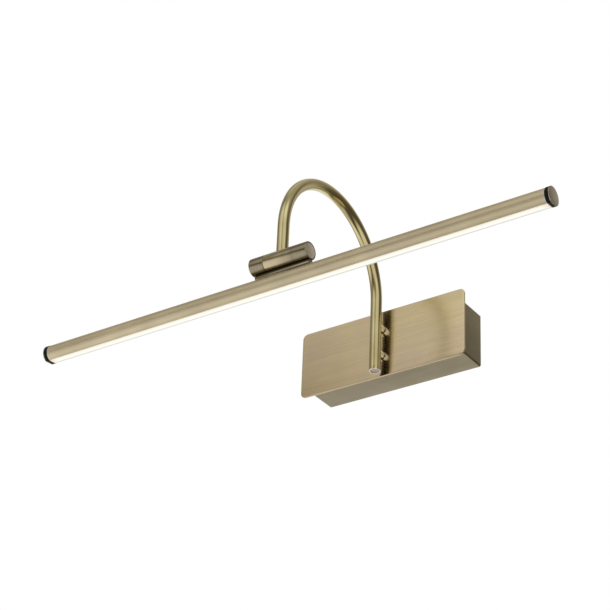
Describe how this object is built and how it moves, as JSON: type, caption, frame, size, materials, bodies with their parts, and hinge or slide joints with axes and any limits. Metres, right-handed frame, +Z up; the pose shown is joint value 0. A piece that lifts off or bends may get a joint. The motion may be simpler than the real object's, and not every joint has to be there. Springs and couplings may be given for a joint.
{
  "type": "picture light",
  "caption": "Wall picture light: flat front plate on a shallow wall box, swan-neck tube arm on standoffs, long slim LED head on a tilting pivot barrel.",
  "frame": {"origin": "on the wall plane, at the centre of the wall bracket's rear face, behind the middle of the front plate", "axes": "+X along the head, towards the end on the right when facing the wall; +Y into the wall; +Z up"},
  "size_m": [0.595, 0.2399, 0.1754],
  "materials": {
    "antique_brass_tube": "antique brass plating, brushed along the length, satin",
    "antique_brass_plate": "antique brass plating, fine horizontal brushing, semi-gloss",
    "antique_brass_box": "antique brass plating, darker, satin",
    "antique_brass_barrel": "antique brass plating, satin",
    "antique_brass_cap": "darkened antique brass, fine radial brushing",
    "brushed_head": "aluminium extrusion with antique brass finish, brushed along the length",
    "zinc_steel": "zinc plated, dull",
    "bare_brass": "plain brass, satin",
    "black_rubber": "black, matt",
    "black_cable": "black sheath, satin",
    "black_gasket": "black, satin",
    "white_plastic": "off-white, fine grain",
    "terminal_plastic": "natural white, slightly glossy",
    "led_strip": "white coated board with warm LEDs",
    "opal_diffuser": "opal, satin, lit from within"
  },
  "bodies": {
    "wall_unit": {"wall_bracket": "zinc_steel", "entry_grommet": "black_rubber", "earth_washer": "zinc_steel", "earth_screw": "bare_brass", "terminal_block": "terminal_plastic", "terminal_screw_1": "bare_brass", "terminal_screw_2": "bare_brass", "terminal_screw_3": "bare_brass", "terminal_fixing_screw": "zinc_steel", "box_shell": "antique_brass_box", "front_plate": "antique_brass_plate", "shell_screw_left": "antique_brass_box", "shell_nut_left": "zinc_steel", "shell_screw_right": "antique_brass_box", "shell_nut_right": "zinc_steel", "driver_pad": "black_rubber", "driver_case": "white_plastic", "driver_lid": "white_plastic", "driver_input_lead": "black_cable", "arm_tube": "antique_brass_tube", "arm_end_plug": "antique_brass_cap", "upper_standoff": "antique_brass_barrel", "lower_standoff": "antique_brass_barrel", "arm_nipple": "zinc_steel", "nipple_washer": "zinc_steel", "nipple_nut": "zinc_steel", "arm_screw_washer": "zinc_steel", "arm_screw": "zinc_steel", "arm_lead": "black_cable", "centre_knuckle": "antique_brass_barrel"},
    "head": {"left_knuckle": "antique_brass_barrel", "left_barrel_cap": "antique_brass_cap", "left_friction_washer": "black_gasket", "right_knuckle": "antique_brass_barrel", "right_barrel_cap": "antique_brass_cap", "right_friction_washer": "black_gasket", "left_pivot_bolt": "zinc_steel", "right_pivot_nipple": "zinc_steel", "right_pivot_nut": "zinc_steel", "mount_bar": "antique_brass_cap", "head_tube": "brushed_head", "diffuser": "opal_diffuser", "led_board": "led_strip", "left_cap_gasket": "black_gasket", "left_end_cap": "antique_brass_cap", "right_cap_gasket": "black_gasket", "right_end_cap": "antique_brass_cap", "head_screw_left": "zinc_steel", "head_screw_right": "zinc_steel", "head_lead": "black_cable"}
  },
  "joints": [
    {"name": "head_tilt", "type": "hinge", "parent": "wall_unit", "child": "head", "pos_m": [0, -0.2302, 0.0058], "axis": [1, 0, 0], "range_deg": [-80, 80]}
  ]
}
